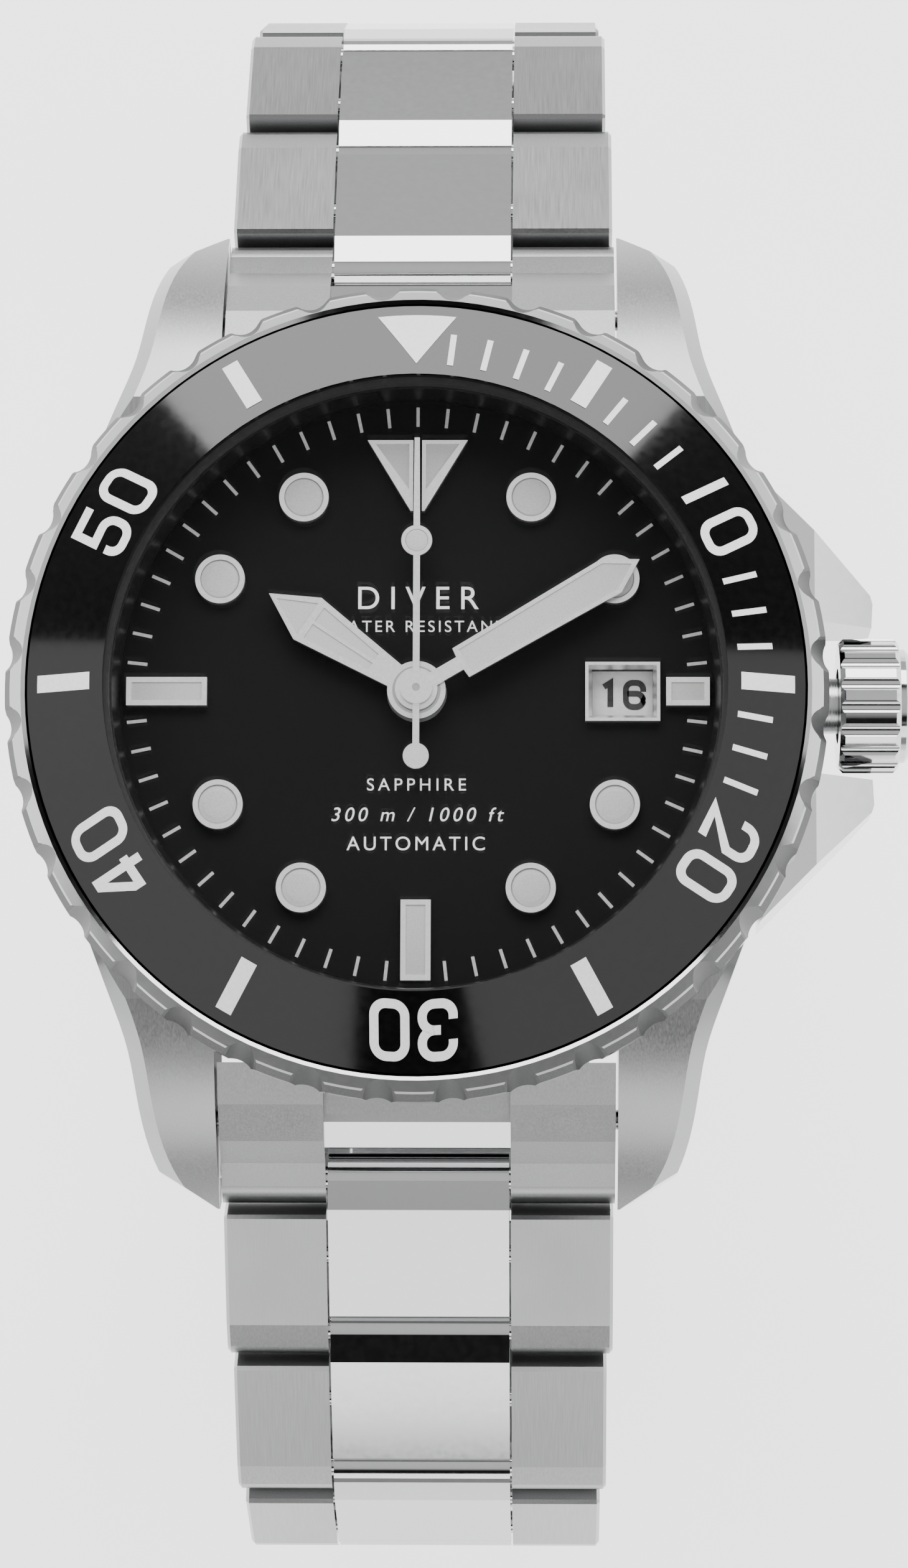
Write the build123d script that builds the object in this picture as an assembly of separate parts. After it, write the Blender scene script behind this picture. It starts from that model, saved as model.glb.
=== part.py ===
from build123d import *
import os
from math import asin, cos, degrees, hypot, pi, radians, sin

# A 40 mm dive watch with a rotating bezel, an automatic movement and a folding bracelet.
# Millimetres. +Z is the way the dial faces, +Y is 12 o'clock, +X is the crown.
# The origin is the centre of the case back's flat outer face.

# ---- driving dimensions -------------------------------------------------------------------
BEZEL_R = 20.4
CASE_R = 19.9
CASE_TOP = 8.3
CASE_BOTTOM = 1.6
LUG_BEVEL = 0.75
BETWEEN_LUGS = 10.0
GAP_WALL_R = 18.6
CAVITY_R = 15.0
DIAL_TOP = 9.0
DIAL_R = 14.85
DIAL_THICKNESS = 0.5
CRYSTAL_R = 15.1
CRYSTAL_BOTTOM = 10.9
CRYSTAL_TOP = 13.0
STEM_HEIGHT = 4.9
CROWN_R = 3.38
CROWN_START, CROWN_BARREL_END, CROWN_END = 21.05, 24.07, 24.58
SCALLOPS = 36
BEZEL_CLICKS = 120
INSERT_IN_R, INSERT_OUT_R = 15.3, 19.15
INSERT_IN_Z, INSERT_OUT_Z = 12.85, 11.05
INSERT_THICKNESS = 0.66
SEAT_IN_R = 15.5
MOVEMENT_R = 13.0
PLATE_BOTTOM, PLATE_TOP = 5.8, 7.4
BRIDGE_BOTTOM, BRIDGE_TOP = 3.95, 4.4
GAP = 0.12

PITCH = 8.5
LINK_HALF = 1.6
NOSE_R = 1.25
CENTRE_HALF = 4.55
PIN_R = 0.6
RUNNING = 0.03
FIRST_HINGE = (23.5, 1.0)
LINK_SLOPES = (30, 37, 70, 108, 145, 175)
LINK_WIDTHS = (19.6, 19.0, 18.4, 17.9, 17.4, 17.0)

os.makedirs("parts", exist_ok=True)


# ---- shared shapes ------------------------------------------------------------------------
def save(node, *shapes):
    solids = [solid for shape in shapes for solid in shape.solids()]
    export_step(solids[0] if len(solids) == 1 else Compound(solids), f"parts/{node}.step")


def disc(radius, bottom, top, x=0.0, y=0.0):
    return Pos(x, y, (bottom + top) / 2) * Cylinder(radius, top - bottom)


def ring(outer, inner, bottom, top, x=0.0, y=0.0):
    return disc(outer, bottom, top, x, y) - disc(inner, bottom - 1, top + 1, x, y)


def rod(radius, start, end, y, z):
    """A cylinder along X from start to end."""
    return Pos((start + end) / 2, y, z) * Rot(0, 90, 0) * Cylinder(radius, end - start)


def block(x0, x1, y0, y1, z0, z1):
    return Pos((x0 + x1) / 2, (y0 + y1) / 2, (z0 + z1) / 2) * Box(x1 - x0, y1 - y0, z1 - z0)


def turned(*profile):
    """The outline of (radius, height) points, turned about Z."""
    return revolve(Plane.XZ * make_face(Polyline(*profile, close=True)), Axis.Z)


def plate(outline, bottom, top):
    return Pos(0, 0, bottom) * extrude(make_face(outline), top - bottom)


def polar(radius, clock_degrees):
    """A point at a clockwise angle from 12 o'clock."""
    angle = radians(clock_degrees)
    return radius * sin(angle), radius * cos(angle)


def around(shape, clock_degrees):
    return Rot(0, 0, -clock_degrees) * shape


def gear(teeth, module, bottom, top, x=0.0, y=0.0, phase=0.0, bore=0.0):
    """A spur gear with thin pointed teeth; phase is the angle of one tooth, in degrees."""
    pitch_radius = teeth * module / 2
    root, tip = pitch_radius - 1.1 * module, pitch_radius + 0.6 * module
    step = 2 * pi / teeth
    corners = []
    for tooth in range(teeth):
        middle = radians(phase) + tooth * step
        for radius, share in ((root, -0.23), (tip, -0.08), (tip, 0.08), (root, 0.23)):
            angle = middle + share * step
            corners.append((x + radius * cos(angle), y + radius * sin(angle)))
    wheel = plate(Polyline(*corners, close=True), bottom, top)
    if bore:
        wheel -= disc(bore, bottom - 1, top + 1, x, y)
    return wheel


def mirrored_y(shape):
    return mirror(shape, about=Plane.XZ)


# ---- case ---------------------------------------------------------------------------------
def lug_outline(side_x, side_y):
    """One lug in plan, from the round body to its slanted tip."""
    flank = [(18.6, 7.0), (16.6, 11.3), (15.2, 15.0), (14.35, 17.5), (13.95, 19.8), (13.45, 22.15)]
    flank.append((13.0, 23.3))
    rest = [(13.0, 23.3), (10.1, 25.1), (8.0, 25.1), (8.0, 8.0), (18.6, 7.0)]
    outer = Spline(*[(side_x * x, side_y * y) for x, y in flank])
    return [outer, Polyline(*[(side_x * x, side_y * y) for x, y in rest])]


def lug(side_x, side_y):
    """One lug with its long polished bevel."""
    body = plate(lug_outline(side_x, side_y), CASE_BOTTOM - 2, CASE_TOP) & case_profile()
    edges = [edge for edge in body.edges() if is_flank_top(edge)]
    return chamfer(edges, LUG_BEVEL)


def case_profile():
    """The side view: flat top, lug tops that curve down to their tips, flat underneath."""
    top_right = ThreePointArc((15.2, CASE_TOP), (21.3, 5.35), (25.15, 1.5))
    tip_right = Line((25.15, 1.5), (24.7, 0.25))
    under_right = ThreePointArc((24.7, 0.25), (20.0, 0.5), (16.4, CASE_BOTTOM))
    right = [top_right, tip_right, under_right]
    left = [mirror(edge, about=Plane.YZ) for edge in right]
    flat = [Line((-15.2, CASE_TOP), (15.2, CASE_TOP)), Line((16.4, CASE_BOTTOM), (-16.4, CASE_BOTTOM))]
    face = make_face([*right, *left, *flat])
    return extrude(Plane.YZ * face, 26, both=True)


def crown_guards():
    """Two shoulders either side of the crown, sloping down to their tips."""
    points = [(17.0, 11.25), (22.7, 5.5), (22.82, 5.1), (22.75, 3.85), (17.0, 3.85)]
    guards = plate(Polyline(*points, close=True), 2.0, 7.9)
    guards += mirrored_y(guards)
    side = [(16.0, 2.0), (21.5, 2.0), (23.3, 3.2), (23.3, 5.2), (19.8, 7.9), (16.0, 7.9)]
    return guards & extrude(Plane.XZ * make_face(Polyline(*side, close=True)), 15, both=True)


def case_middle():
    body = disc(CASE_R, CASE_BOTTOM, CASE_TOP)
    for side_x in (1, -1):
        for side_y in (1, -1):
            body += lug(side_x, side_y)
    between = block(-BETWEEN_LUGS, BETWEEN_LUGS, -30, 30, -5, 20)
    body -= between - disc(GAP_WALL_R, -6, 21)
    body += crown_guards()
    body += disc(16.6, CASE_TOP - 0.5, 11.15)
    body += turned((0, 11.1), (16.6, 11.1), (16.6, 11.2), (15.45, 11.7), (0, 11.7))
    body -= disc(15.4, 0, 3.15)
    body -= disc(CAVITY_R, 0, DIAL_TOP)
    body -= disc(15.4, DIAL_TOP, CRYSTAL_BOTTOM)
    body -= disc(15.45, CRYSTAL_BOTTOM, 20)
    body -= disc(14.75, DIAL_TOP - 1, CRYSTAL_BOTTOM + 1)
    # pocket for the click spring, and the groove for the bezel's retaining ring
    body -= ring(18.35, 17.25, 7.6, 9.0)
    body -= ring(17.0, 16.3, 9.45, 9.95)
    # crown tube hole, crown recess and the spring bar holes
    body -= rod(1.4, 14, 22, 0, STEM_HEIGHT)
    body -= rod(CROWN_R + 0.45, 20.9, 27, 0, STEM_HEIGHT)
    for y in (20.6, -20.6):
        body -= rod(0.52, -11.3, 11.3, y, 2.0)
    return body


def is_flank_top(edge):
    """True for the sloping edge between a lug's top and its outer flank."""
    middle = edge @ 0.5
    return 12.9 < abs(middle.X) < 16 and 15.3 < abs(middle.Y) < 23.2 and middle.Z > 2.4


def case_back():
    back = turned((0, 0), (14.6, 0), (15.9, 0.35), (16.9, 1.0), (16.9, 1.55), (15.35, 1.55),
                  (15.35, 3.1), (13.9, 3.1), (13.9, 2.0), (0, 2.0))
    back -= ring(16.15, 15.5, 1.15, 2.0)
    for notch in range(6):
        back -= around(block(-1.2, 1.2, 15.4, 17.5, -1, 0.7), 60 * notch + 30)
    return back


def gaskets():
    back_ring = ring(16.1, 15.55, 1.17, 1.58)
    crystal_ring = ring(15.44, CRYSTAL_R + 0.005, CRYSTAL_BOTTOM + 0.01, 11.65)
    return back_ring, crystal_ring


def rehaut():
    """The black wall between the dial and the crystal."""
    return turned((14.75, DIAL_TOP), (15.38, DIAL_TOP), (15.38, CRYSTAL_BOTTOM - 0.01),
                  (15.0, CRYSTAL_BOTTOM - 0.01), (14.75, DIAL_TOP + 0.3))


def crystal():
    lens = disc(CRYSTAL_R, CRYSTAL_BOTTOM, CRYSTAL_TOP)
    return chamfer(lens.edges().group_by(Axis.Z)[-1], 0.18)


# ---- dial ---------------------------------------------------------------------------------
DATE_X, DATE_LENGTH, DATE_HEIGHT = 10.2, 3.7, 2.96
DATE_OPEN_LENGTH, DATE_OPEN_HEIGHT = 3.0, 2.3
PLOT_R, PLOT_RING_R, PLOT_INNER_R = 1.235, 11.32, 0.98
FRAME_HEIGHT = 0.42


def dial():
    face = disc(DIAL_R, DIAL_TOP - DIAL_THICKNESS, DIAL_TOP)
    face -= disc(1.5, 0, 20)
    half_x, half_y = DATE_OPEN_LENGTH / 2, DATE_OPEN_HEIGHT / 2
    face -= block(DATE_X - half_x, DATE_X + half_x, -half_y, half_y, 0, 20)
    return face


def marker_pocket(frame, opening):
    """A polished frame with a pocket for its luminous filling."""
    return frame - opening


def baton(inner, outer, width, clock_degrees):
    rim = 0.26
    low, high = DIAL_TOP, DIAL_TOP + FRAME_HEIGHT
    frame = block(-width / 2, width / 2, inner, outer, low, high)
    opening = block(-width / 2 + rim, width / 2 - rim, inner + rim, outer - rim, low + 0.12, high + 1)
    return around(marker_pocket(frame, opening), clock_degrees)


def half_triangle(side):
    """One half of the split triangle at 12 o'clock."""
    slit, half_width, top, apex, rim = 0.22, 2.5, 12.7, 9.1, 0.2
    low, high = DIAL_TOP, DIAL_TOP + FRAME_HEIGHT
    outer = [(slit, top), (half_width, top), (slit + 0.12, apex), (slit, apex)]
    inner = [(slit + rim, top - rim), (half_width - 2.1 * rim, top - rim), (slit + rim, apex + 1.1)]
    frame = plate(Polyline(*[(side * x, y) for x, y in outer], close=True), low, high)
    opening = plate(Polyline(*[(side * x, y) for x, y in inner], close=True), low + 0.12, high + 1)
    return marker_pocket(frame, opening)


def hour_markers():
    markers = []
    low, high = DIAL_TOP, DIAL_TOP + FRAME_HEIGHT
    for hour in (1, 2, 4, 5, 7, 8, 10, 11):
        x, y = polar(PLOT_RING_R, 30 * hour)
        opening = disc(PLOT_INNER_R, low + 0.12, high + 1, x, y)
        markers.append(marker_pocket(disc(PLOT_R, low, high, x, y), opening))
    markers += [half_triangle(1), half_triangle(-1)]
    markers += [baton(12.35, 14.5, 1.42, 90), baton(10.4, 14.4, 1.48, 180), baton(10.4, 14.4, 1.42, 270)]
    markers.append(date_frame())
    return markers


def date_frame():
    """A bevelled frame round the date window."""
    frame = block(DATE_X - DATE_LENGTH / 2, DATE_X + DATE_LENGTH / 2, -DATE_HEIGHT / 2, DATE_HEIGHT / 2,
                  DIAL_TOP, DIAL_TOP + 0.4)
    bottom = Plane((DATE_X, 0, DIAL_TOP - 0.01)) * Rectangle(DATE_OPEN_LENGTH, DATE_OPEN_HEIGHT)
    top = Plane((DATE_X, 0, DIAL_TOP + 0.41)) * Rectangle(DATE_LENGTH - 0.3, DATE_HEIGHT - 0.3)
    return frame - loft([bottom, top])


# ---- hands --------------------------------------------------------------------------------
HOUR_HAND_Z, MINUTE_HAND_Z, SECONDS_HAND_Z = 9.62, 10.0, 10.36
HAND_THICKNESS = 0.2


def hand_plate(points, z, thickness=HAND_THICKNESS):
    """A hand's blade pointing to 12, from the (x, y) points of its right half."""
    right = [(x, y) for x, y in points]
    left = [(-x, y) for x, y in reversed(points) if x]
    return plate(Polyline(*right, *left, close=True), z, z + thickness)


def hour_hand():
    z = HOUR_HAND_Z
    hand = hand_plate([(0.6, 0.0), (0.62, 1.2), (1.25, 6.5), (0.0, 8.8)], z)
    hand += disc(1.45, z, z + HAND_THICKNESS)
    window = [(0.09, 2.55), (0.45, 2.55), (0.91, 6.12), (0.09, 6.12)]
    for side in (1, -1):
        hand -= plate(Polyline(*[(side * x, y) for x, y in window], close=True), z - 1, z + 1)
    hand -= hand_plate([(0.92, 6.48), (0.0, 8.35)], z - 1, 3)
    hand -= disc(1.2, 0, 20)
    return around(hand, 303.5)


def minute_hand():
    z = MINUTE_HAND_Z
    hand = hand_plate([(0.36, 0.0), (0.36, 2.5), (0.83, 2.55), (0.975, 11.2), (0.0, 12.8)], z)
    hand += disc(1.05, z, z + HAND_THICKNESS)
    hand -= hand_plate([(0.62, 2.8), (0.76, 11.1), (0.0, 12.35)], z - 1, 3)
    hand -= disc(0.72, 0, 20)
    return around(hand, 59.5)


def seconds_hand():
    z = SECONDS_HAND_Z
    hand = hand_plate([(0.165, -3.4), (0.165, 7.4), (0.13, 12.6)], z, 0.14)
    hand += disc(0.64, z, z + 0.14, 0, -3.4)
    hand += disc(0.765, z, z + 0.14, 0, 7.4)
    hand -= disc(0.565, z - 1, z + 1, 0, 7.4)
    hand += disc(0.8, z, z + 0.3)
    hand -= disc(0.2, 0, 20)
    return hand


# ---- bezel --------------------------------------------------------------------------------
def cone_height(radius):
    """The height of the insert's sloping face at a radius."""
    slope = (INSERT_IN_Z - INSERT_OUT_Z) / (INSERT_OUT_R - INSERT_IN_R)
    return INSERT_IN_Z - slope * (radius - INSERT_IN_R)


def is_bezel_edge(edge):
    """True for the upper edges of the bezel's grip."""
    middle = edge @ 0.5
    return middle.Z > 9.8 and hypot(middle.X, middle.Y) > 19.6


def bezel_ring():
    seat_out = INSERT_OUT_R + 0.13
    profile = [(16.72, 8.42), (19.7, 8.42), (BEZEL_R, 9.0), (BEZEL_R, 9.7), (20.05, 10.45),
               (seat_out + 0.2, cone_height(seat_out) + 0.08), (seat_out, cone_height(seat_out) - 0.02),
               (seat_out, cone_height(seat_out) - INSERT_THICKNESS),
               (SEAT_IN_R, cone_height(SEAT_IN_R) - INSERT_THICKNESS),
               (SEAT_IN_R, 11.8), (16.72, 11.26)]
    body = turned(*profile)
    # each scallop is cut by a leaning cylinder, so that it dies out near the bottom of the edge
    cutter_r, lean, depth = 1.0, 18, 0.4
    x = BEZEL_R - depth + cutter_r / cos(radians(lean))
    scallop = Pos(x, 0, 9.5) * Rot(0, -lean, 0) * Cylinder(cutter_r, 6)
    cutters = [Rot(0, 0, 5 + 360 / SCALLOPS * count) * scallop for count in range(SCALLOPS)]
    body -= cutters
    # a fine bevel follows the scalloped edge
    curved = [edge for edge in body.edges() if edge.geom_type != GeomType.LINE]
    body = chamfer([edge for edge in curved if is_bezel_edge(edge)], 0.09)
    # ratchet notches under the ring
    notch = Plane.YZ * make_face(Polyline((-0.4, 8.3), (0.06, 8.3), (0.06, 8.72), close=True))
    tooth = Pos(17.3, 0, 0) * extrude(notch, 1.0)
    body -= [Rot(0, 0, 360 / BEZEL_CLICKS * count) * tooth for count in range(BEZEL_CLICKS)]
    return body


def bezel_insert():
    seat_top = cone_height(SEAT_IN_R) - INSERT_THICKNESS
    profile = [(INSERT_IN_R, cone_height(INSERT_IN_R)), (INSERT_OUT_R, cone_height(INSERT_OUT_R)),
               (INSERT_OUT_R, cone_height(INSERT_OUT_R) - INSERT_THICKNESS),
               (SEAT_IN_R, seat_top), (INSERT_IN_R, seat_top)]
    return turned(*profile)


def bezel_click_spring():
    """A flat spring ring in the case's pocket, with a raised pawl under the notches."""
    strip = ring(18.25, 17.35, 7.62, 7.85) - block(0, 20, -1.5, 1.5, 0, 20)
    corners = [(-1.0, 7.85), (1.0, 7.85), (0.35, 8.38), (0.1, 8.38)]
    profile = Plane.XZ * make_face(Polyline(*corners, close=True))
    pawl = Pos(0, 18.1, 0) * extrude(profile, 0.6)
    return strip + pawl


def bezel_retaining_ring():
    return ring(16.68, 16.35, 9.5, 9.9)


# ---- crown --------------------------------------------------------------------------------
def crown():
    flutes = 18
    barrel = rod(CROWN_R, CROWN_START, CROWN_BARREL_END, 0, STEM_HEIGHT)
    barrel = chamfer(barrel.edges().filter_by(GeomType.CIRCLE), 0.25)
    groove = Pos(0, CROWN_R + 0.22, 0) * Rot(0, 90, 0) * Cylinder(0.42, 10)
    grooves = [Pos(23, 0, STEM_HEIGHT) * Rot(360 / flutes * count, 0, 0) * groove for count in range(flutes)]
    barrel -= grooves
    cap = rod(2.87, CROWN_BARREL_END - 0.1, CROWN_END, 0, STEM_HEIGHT)
    cap = chamfer(cap.edges().filter_by(GeomType.CIRCLE).sort_by(Axis.X)[-1], 0.22)
    return barrel + cap - rod(1.9, CROWN_START - 1, 23.4, 0, STEM_HEIGHT)


def crown_tube():
    return rod(1.4, CAVITY_R + 0.15, 23.15, 0, STEM_HEIGHT) - rod(0.65, 10, 30, 0, STEM_HEIGHT)


def crown_gasket():
    return rod(1.88, 21.25, 21.65, 0, STEM_HEIGHT) - rod(1.43, 20, 24, 0, STEM_HEIGHT)


def winding_stem():
    stem = rod(0.5, 5.0, 23.4, 0, STEM_HEIGHT)
    pinion = Rot(0, 90, 0) * gear(9, 0.2, 8.2, 8.9)
    return stem + Pos(0, 0, STEM_HEIGHT) * pinion


# ---- movement -----------------------------------------------------------------------------
THIRD, GREAT, BARREL, ESCAPE = (-3.663, -1.369), (-1.587, -4.742), (4.244, -6.062), (-0.672, 3.809)
BALANCE, PALLET, CROWN_WHEEL, MINUTE = (-1.5, 8.47), (-1.17, 6.65), (6.3, 0.0), (1.8, 3.118)
JEWEL_PLACES = (THIRD, GREAT, ESCAPE, BALANCE, PALLET)
PILLARS = (75, 105, 172, 200, 255, 300, 20)
PILLAR_CENTRE_R = 12.2
SCREW_R = 0.3


def direction(start, end):
    """The angle, in degrees, of the line from one axis to another."""
    dx, dy = end[0] - start[0], end[1] - start[1]
    length = hypot(dx, dy)
    angle = degrees(asin(dy / length))
    return angle if dx >= 0 else 180 - angle


def meshing(wheel, pinion, teeth):
    """The phase that puts a gap of the second gear at the first gear's tooth."""
    return direction(wheel, pinion) + 180 + 180 / teeth


def arbor(place, bottom=BRIDGE_BOTTOM + 0.1, top=PLATE_BOTTOM + 0.5, radius=0.15):
    return disc(radius, bottom, top, *place)


def main_plate():
    body = disc(MOVEMENT_R, PLATE_BOTTOM, PLATE_TOP)
    body += disc(0.5, PLATE_TOP - 0.1, 9.5)
    body -= disc(0.25, 0, 20)
    body -= block(4.0, 14, -1.3, 1.3, 0, 6.1)
    for place in JEWEL_PLACES:
        body -= disc(0.5, 0, 20, *place)
    body -= disc(0.53, 0, 6.4, *BARREL)
    body -= disc(0.2, PLATE_TOP - 0.6, 20, *MINUTE)
    # pillars that carry the bridges
    for clock_degrees in PILLARS:
        x, y = polar(PILLAR_CENTRE_R, clock_degrees)
        body += disc(0.7, BRIDGE_TOP, PLATE_BOTTOM + 0.1, x, y)
        body -= disc(SCREW_R, BRIDGE_TOP - 1, PLATE_BOTTOM, x, y)
    return body


def bridge(start, end, holes, centre_hole=0.9):
    """A sector of the bridge layer between two clock angles."""
    sector = [(0, 0)] + [polar(30, start + (end - start) * step / 4) for step in range(5)]
    body = disc(12.9, BRIDGE_BOTTOM, BRIDGE_TOP) & plate(Polyline(*sector, close=True), 0, 20)
    body -= disc(centre_hole, 0, 20)
    for place, radius in holes:
        body -= disc(radius, 0, 20, *place)
    for clock_degrees in PILLARS:
        if start < clock_degrees < end or start < clock_degrees + 360 < end:
            x, y = polar(PILLAR_CENTRE_R, clock_degrees)
            body -= disc(SCREW_R, 0, 20, x, y)
    return body


def balance_cock():
    body = bridge(312, 390, [(BALANCE, 0.5), (PALLET, 0.5), (ESCAPE, 0.5)])
    body -= disc(4.3, BRIDGE_TOP - 0.12, 20, *BALANCE)
    return body


def movement_screws():
    screws = []
    for clock_degrees in PILLARS:
        x, y = polar(PILLAR_CENTRE_R, clock_degrees)
        head = disc(0.6, 3.7, BRIDGE_BOTTOM, x, y) - block(x - 0.1, x + 0.1, y - 1, y + 1, 3, 3.8)
        screws.append(head + disc(SCREW_R, BRIDGE_BOTTOM - 0.05, PLATE_BOTTOM - 0.05, x, y))
    return screws


def jewels():
    stones = []
    for place in JEWEL_PLACES:
        stones.append(ring(0.5, 0.17, BRIDGE_BOTTOM, BRIDGE_TOP - 0.15, *place))
        stones.append(ring(0.5, 0.17, PLATE_BOTTOM + 0.05, PLATE_BOTTOM + 0.4, *place))
    return stones


def mainspring_barrel():
    drum = ring(4.95, 4.7, 4.87, 5.4, *BARREL)
    teeth = gear(80, 0.13, 5.14, 5.34, *BARREL, phase=direction(BARREL, GREAT), bore=4.9)
    floor = ring(4.95, 0.56, 4.87, 4.95, *BARREL) + ring(4.95, 0.56, 5.34, 5.42, *BARREL)
    return drum + teeth + floor


def mainspring():
    """Coils of flat spring between the arbor and the drum's wall."""
    x, y = BARREL
    turns, inner, outer = 7, 1.0, 4.4
    spiral_out, spiral_in = [], []
    steps = 24 * turns
    for step in range(steps + 1):
        radius = inner + (outer - inner) * step / steps
        angle = 2 * pi * turns * step / steps
        spiral_out.append((x + (radius + 0.08) * cos(angle), y + (radius + 0.08) * sin(angle)))
        spiral_in.append((x + (radius - 0.08) * cos(angle), y + (radius - 0.08) * sin(angle)))
    return plate(Polyline(*spiral_out, *reversed(spiral_in), close=True), 4.99, 5.3)


def ratchet_wheel():
    wheel = gear(41, 0.2, 3.65, 3.85, *BARREL, phase=direction(BARREL, CROWN_WHEEL))
    return wheel + disc(0.5, 3.8, 6.3, *BARREL)


def crown_wheel():
    wheel = gear(22, 0.2, 3.65, 3.85, *CROWN_WHEEL, phase=meshing(BARREL, CROWN_WHEEL, 22))
    return wheel + disc(0.4, 3.8, 4.2, *CROWN_WHEEL)


def great_wheel():
    wheel = gear(64, 0.11, 4.55, 4.72, *GREAT, phase=direction(GREAT, THIRD))
    pinion = gear(12, 0.13, 5.1, 5.45, *GREAT, phase=meshing(BARREL, GREAT, 12))
    return wheel + pinion + arbor(GREAT)


def third_wheel():
    wheel = gear(60, 0.115, 4.95, 5.08, *THIRD, phase=direction(THIRD, (0, 0)))
    pinion = gear(8, 0.11, 4.5, 4.8, *THIRD, phase=meshing(GREAT, THIRD, 8))
    return wheel + pinion + arbor(THIRD)


def fourth_wheel():
    wheel = gear(84, 0.085, 5.5, 5.62, phase=direction((0, 0), ESCAPE))
    pinion = gear(8, 0.115, 4.88, 5.2, phase=meshing(THIRD, (0, 0), 8))
    return wheel + pinion + disc(0.2, 4.2, 10.62)


def escape_wheel():
    x, y = ESCAPE
    corners = []
    for tooth in range(20):
        angle = 2 * pi * tooth / 20
        for radius, turn in ((1.7, -0.02), (2.15, 0.1), (2.15, 0.16), (1.75, 0.12)):
            corners.append((x + radius * cos(angle + turn), y + radius * sin(angle + turn)))
    wheel = plate(Polyline(*corners, close=True), 4.92, 5.04)
    for spoke in range(4):
        cx, cy = polar(1.05, 45 + 90 * spoke)
        wheel -= disc(0.45, 4, 6, x + cx, y + cy)
    pinion = gear(7, 0.085, 5.44, 5.7, x, y, phase=meshing((0, 0), ESCAPE, 7))
    return wheel + pinion + arbor(ESCAPE)


def pallet_fork():
    """A lever with two pallet arms and a forked end towards the balance."""
    x, y = PALLET
    turn = direction(ESCAPE, BALANCE) - 90
    arms = plate(Polyline((-1.3, -0.45), (0, 0.25), (1.3, -0.45), (1.3, -0.2), (0.2, 0.45),
                          (0.1, 0.8), (-0.1, 0.8), (-0.2, 0.45), (-1.3, -0.2), close=True), 4.92, 5.04)
    return Pos(x, y, 0) * Rot(0, 0, turn) * arms + arbor(PALLET)


def balance_wheel():
    x, y = BALANCE
    rim = ring(4.1, 3.7, 4.46, 4.72, x, y)
    spokes = block(x - 3.9, x + 3.9, y - 0.2, y + 0.2, 4.5, 4.66)
    spokes += block(x - 0.2, x + 0.2, y - 3.9, y + 3.9, 4.5, 4.66)
    roller = disc(0.6, 4.6, 4.85, x, y)
    return rim + spokes + roller + arbor(BALANCE)


def hairspring():
    x, y = BALANCE
    turns, inner, outer, half = 9, 0.4, 2.9, 0.04
    outside, inside = [], []
    steps = 20 * turns
    for step in range(steps + 1):
        radius = inner + (outer - inner) * step / steps
        angle = 2 * pi * turns * step / steps
        outside.append((x + (radius + half) * cos(angle), y + (radius + half) * sin(angle)))
        inside.append((x + (radius - half) * cos(angle), y + (radius - half) * sin(angle)))
    return plate(Polyline(*outside, *reversed(inside), close=True), 4.3, 4.42)


def cannon_pinion():
    leaves = gear(12, 0.15, 7.48, 7.75, phase=direction((0, 0), MINUTE))
    return leaves + disc(0.72, 7.6, 10.2) - disc(0.53, 0, 20)


def minute_wheel():
    wheel = gear(36, 0.15, 7.5, 7.7, *MINUTE, phase=meshing((0, 0), MINUTE, 36))
    pinion = gear(10, 0.144, 7.65, 8.2, *MINUTE, phase=direction(MINUTE, (0, 0)))
    return wheel + pinion + disc(0.18, PLATE_TOP - 0.5, 7.6, *MINUTE)


def hour_wheel():
    wheel = gear(40, 0.144, 7.95, 8.1, phase=meshing(MINUTE, (0, 0), 40))
    return wheel + disc(1.2, 8.0, 9.82) - disc(0.78, 0, 20)


def date_disc():
    body = ring(12.3, 8.1, 8.0, 8.3)
    for day in range(31):
        x, y = polar(8.0, 360 / 31 * day)
        body -= disc(0.45, 7.5, 9, x, y)
    return body


def rotor():
    """A half-round swinging weight on a ball bearing at the centre."""
    sector = block(-14, 14, -14, 0.0, 0, 5)
    body = (disc(12.7, 3.1, 3.4) + ring(12.7, 10.6, 2.4, 3.55)) & sector
    body += disc(2.2, 3.0, 3.45)
    return body - disc(0.83, 0, 20)


def movement_ring():
    body = ring(14.9, 13.05, 3.3, DIAL_TOP - DIAL_THICKNESS)
    return body - rod(0.75, 10, 16, 0, STEM_HEIGHT)


def train_bridge():
    body = bridge(180, 311, [(THIRD, 0.5), (GREAT, 0.5)], centre_hole=0.25)
    return body + disc(0.8, 2.9, BRIDGE_TOP) - disc(0.25, BRIDGE_BOTTOM, 20)


def barrel_bridge():
    body = bridge(31, 179, [(BARREL, 0.53), (CROWN_WHEEL, 0.43), (GREAT, 0.6)])
    return body - block(7.9, 10.8, -1.2, 1.2, 0, 20) - block(4.6, 14, -0.6, 0.6, 4.3, 20)


# ---- bracelet -----------------------------------------------------------------------------
def link_piece(start, end, nose_at_start, x0, x1):
    """A link in its own frame: along Y, thickness along Z, one end rounded about its pin."""
    span = 1.0
    rise = radians(110)
    if nose_at_start:
        pin, wall, side = start, end, 1
    else:
        pin, wall, side = end, start, -1
    arc_end = (pin + side * NOSE_R * cos(rise), NOSE_R * sin(rise))
    lines = Polyline(arc_end, (pin + side * span, LINK_HALF), (wall - side * 0.15, LINK_HALF),
                     (wall, LINK_HALF - 0.2), (wall, 0.2 - LINK_HALF), (wall - side * 0.15, -LINK_HALF),
                     (pin + side * span, -LINK_HALF), (arc_end[0], -arc_end[1]))
    nose = ThreePointArc((arc_end[0], -arc_end[1]), (pin - side * NOSE_R, 0), arc_end)
    return Pos(x0, 0, 0) * extrude(Plane.YZ * make_face([lines, nose]), x1 - x0)


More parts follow.
